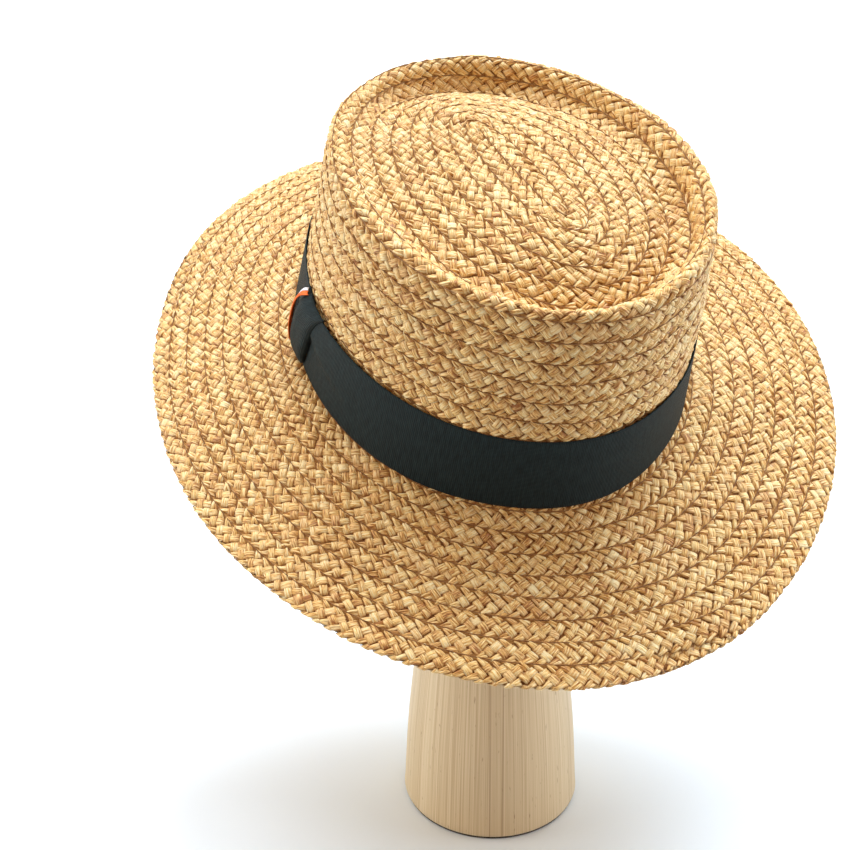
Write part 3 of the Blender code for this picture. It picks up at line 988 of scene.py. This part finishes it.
# %% Wood and felt
GLUE_LINES = (
    # place along X, half width
    (-0.0024, 0.00055),
    (0.0036, 0.00045),
)
GLUE_COLOUR, FLECK_COLOUR = (0.30, 0.18, 0.09, 1.0), (0.34, 0.22, 0.12, 1.0)
wood, tree, shader = new_material("pale_wood", 0.55, 0.35)
place = object_place(tree)
parts = parts_of(tree, place)
outward = node(tree, "ShaderNodeVectorMath", operation="NORMALIZE")
tree.links.new(joined(tree, X=parts["X"], Y=parts["Y"]), outward.inputs[0])
upright = node(tree, "ShaderNodeVectorMath", operation="ADD")
tree.links.new(outward.outputs[0], upright.inputs[0])
tree.links.new(joined(tree, Z=maths(tree, "MULTIPLY", parts["Z"], 0.10)), upright.inputs[1])
grain, boards = noise(tree, upright.outputs[0], 85.0, 2.0), noise(tree, upright.outputs[0], 7.0, 1.0)
wood_shade = maths(tree, "ADD", maths(tree, "MULTIPLY", grain, 0.8), maths(tree, "MULTIPLY", boards, 0.2))
wood_colour = ramp(tree, wood_shade, (0.34, (0.47, 0.34, 0.19)), (0.48, (0.58, 0.45, 0.27)),
                   (0.64, (0.66, 0.53, 0.34)))
drawn_up = node(tree, "ShaderNodeMapping")
drawn_up.inputs["Scale"].default_value = (1.0, 1.0, 0.22)
tree.links.new(place, drawn_up.inputs["Vector"])
flecks = noise(tree, drawn_up.outputs["Vector"], 700.0)
dark_fleck = maths(tree, "MULTIPLY", maths(tree, "SUBTRACT", flecks, 0.68), 9.0, clamp=True)
wood_colour = blend_colours(tree, dark_fleck, wood_colour, FLECK_COLOUR)
for line_place, half_width in GLUE_LINES:
    beside = maths(tree, "ABSOLUTE", maths(tree, "SUBTRACT", parts["X"], line_place))
    on_line = maths(tree, "SUBTRACT", 1.0, maths(tree, "DIVIDE", beside, half_width), clamp=True)
    wood_colour = blend_colours(tree, maths(tree, "MULTIPLY", on_line, 0.7), wood_colour, GLUE_COLOUR)
tree.links.new(wood_colour, shader.inputs["Base Color"])
bump(tree, shader, grain, 0.25, 0.0002)

felt, tree, shader = new_material("felt", 0.95, 0.1)
fuzz = noise(tree, object_place(tree), 900.0)
tree.links.new(ramp(tree, fuzz, (0.3, (0.03, 0.028, 0.026)), (0.7, (0.09, 0.085, 0.08))),
               shader.inputs["Base Color"])
bump(tree, shader, fuzz, 0.6, 0.0003)

# %% Turned stand
STAND_SIDE = (
    # height, narrowing
    (0.00, 0.00),
    (0.28, 0.18),
    (0.50, 0.44),
    (0.71, 0.69),
    (0.86, 0.90),
    (1.00, 1.00),
)


def stand_profile():
    """The stand's outer line, from the middle of its foot up and over its dome."""
    foot, rounding = PAD_THICKNESS + SEAT_GAP, 0.0012
    shares = np.linspace(0.0, 1.0, 25)
    radius = np.interp(shares, *np.transpose(STAND_SIDE))
    radius = np.convolve(np.pad(radius, 2, mode="edge"), np.ones(5) / 5.0, mode="valid")
    radius[0], radius[-1] = 0.0, 1.0
    radius = STAND_FOOT_RADIUS + (STAND_NECK_RADIUS - STAND_FOOT_RADIUS) * radius
    level = foot + (STAND_NECK_START - foot) * shares
    points = [(0.0, foot), (radius[0] - rounding, foot),
              (radius[0] - 0.3 * rounding, foot + 0.3 * rounding), (radius[0], foot + rounding)]
    points += list(zip(radius[1:], level[1:]))
    dome = STAND_HEIGHT - STAND_NECK_RADIUS
    for angle in np.radians(np.arange(0.0, 91.0, 7.5)):
        points.append((STAND_NECK_RADIUS * math.cos(angle), dome + STAND_NECK_RADIUS * math.sin(angle)))
    points[-1] = (0.0, STAND_HEIGHT)
    return points


def turned(name, points, material):
    """A solid spun round Z from its outer line."""
    shape = bmesh.new()
    verts = [shape.verts.new((radius, 0.0, level)) for radius, level in points]
    edges = [shape.edges.new(pair) for pair in zip(verts, verts[1:])]
    bmesh.ops.spin(shape, geom=verts + edges, cent=(0.0, 0.0, 0.0), axis=(0.0, 0.0, 1.0),
                   angle=2.0 * math.pi, steps=96, use_merge=True)
    bmesh.ops.remove_doubles(shape, verts=shape.verts, dist=0.00001)
    bmesh.ops.recalc_face_normals(shape, faces=shape.faces)
    return piece_from(mesh_from(shape, name), material)


PAD_RADIUS, PAD_ROUNDING = STAND_FOOT_RADIUS - PAD_INSET, 0.0002
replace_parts(turned("turned_stand", stand_profile(), wood), "stand")
pad_profile = [(0.0, 0.0), (PAD_RADIUS - PAD_ROUNDING, 0.0), (PAD_RADIUS, PAD_ROUNDING),
               (PAD_RADIUS, PAD_THICKNESS), (0.0, PAD_THICKNESS)]
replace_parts(turned("felt_pad", pad_profile, felt), "stand_pad")

# %% [markdown]
# ## The studio
#
# The photograph is bright and soft: a white floor that runs out of view, light from above
# and a little behind, and hardly a shadow. The floor is dim in front, towards the viewer and
# out of the picture, because less light comes back from there in the photograph.

# %% Floor
FLOOR_BRIGHT, FLOOR_DIM, FLOOR_SIZE = (0.86, 0.94, 1.0), (0.16, 0.16, 0.16), 14.0
floor_material, tree, shader = new_material("floor", 0.9, 0.1)
onto_floor = parts_of(tree, object_place(tree))["Y"]
forward = maths(tree, "ADD", maths(tree, "MULTIPLY", onto_floor, 3.3), 1.3, clamp=True)
tree.links.new(ramp(tree, forward, (0.0, FLOOR_DIM), (0.9, FLOOR_BRIGHT)), shader.inputs["Base Color"])
shape = bmesh.new()
bmesh.ops.create_grid(shape, x_segments=1, y_segments=1, size=FLOOR_SIZE)
placed(mesh_from(shape, "floor"), floor_material)

# %% Lights
LIGHTS = (
    # name, towards from +X, height, strength, colour
    ("left side", 180.0, 12.0, 1.85, (1.0, 1.0, 1.0)),
    ("right side", 0.0, 12.0, 1.7, (0.92, 0.98, 1.08)),
    ("high left", 135.0, 68.0, 1.8, (0.98, 1.01, 1.07)),
    ("high right", 45.0, 68.0, 2.6, (0.94, 1.06, 1.20)),
    ("front", 270.0, 25.0, 0.34, (1.0, 0.42, 0.12)),
)
SUN_WIDTH = 36.0
for name, towards, height, strength, colour in LIGHTS:
    data = bpy.data.lights.new(name, "SUN")
    data.energy = strength
    data.color = colour
    data.angle = math.radians(SUN_WIDTH)
    lamp = bpy.data.objects.new(name, data)
    level = math.cos(math.radians(height))
    source = Vector((math.cos(math.radians(towards)) * level, math.sin(math.radians(towards)) * level,
                     math.sin(math.radians(height))))
    lamp.rotation_euler = source.to_track_quat("Z", "Y").to_euler()
    bpy.context.collection.objects.link(lamp)

world = bpy.data.worlds.new("studio")
world.use_nodes = True
background = world.node_tree.nodes["Background"]
background.inputs["Color"].default_value = (1.0, 0.92, 0.84, 1.0)
background.inputs["Strength"].default_value = 0.37
bpy.context.scene.world = world
bpy.context.scene.view_settings.view_transform = "Standard"
